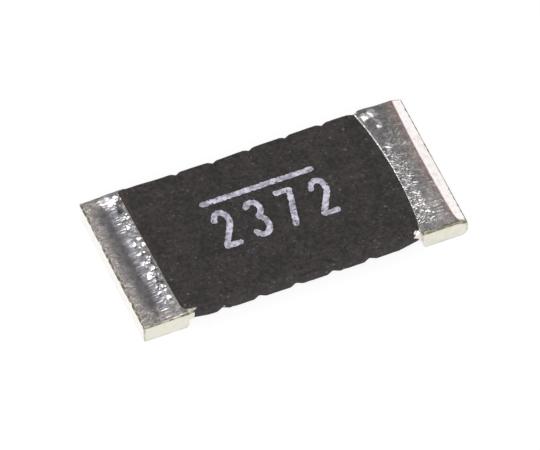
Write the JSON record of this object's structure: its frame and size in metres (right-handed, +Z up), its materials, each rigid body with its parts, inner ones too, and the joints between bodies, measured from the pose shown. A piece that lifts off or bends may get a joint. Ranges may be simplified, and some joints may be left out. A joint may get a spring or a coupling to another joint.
{
  "type": "smd chip resistor",
  "caption": "Surface-mount metal-strip chip resistor: tinned end terminals welded to a slotted resistance strip under a black coating with notched edges and plain printed digits.",
  "frame": {"origin": "under the middle of the chip, on the plane of the board that its terminals rest on", "axes": "+X along the chip towards the terminal with the sheared slope, +Y across it, +Z up from the board"},
  "size_m": [0.0064, 0.0032, 0.0005],
  "materials": {
    "tinned_copper": "tin plating over copper, rippled and sparkling along the weld, scuffed towards the ends",
    "resistance_alloy": "bare nickel-chrome strip with sheared edges",
    "black_coating": "matt black coat with fine grain, pale specks and small pits",
    "marking_ink": "pale printed ink with slightly ragged edges"
  },
  "bodies": {
    "root": {"left_terminal": "tinned_copper", "right_terminal": "tinned_copper", "resistance_strip": "resistance_alloy", "coating": "black_coating"}
  },
  "joints": []
}
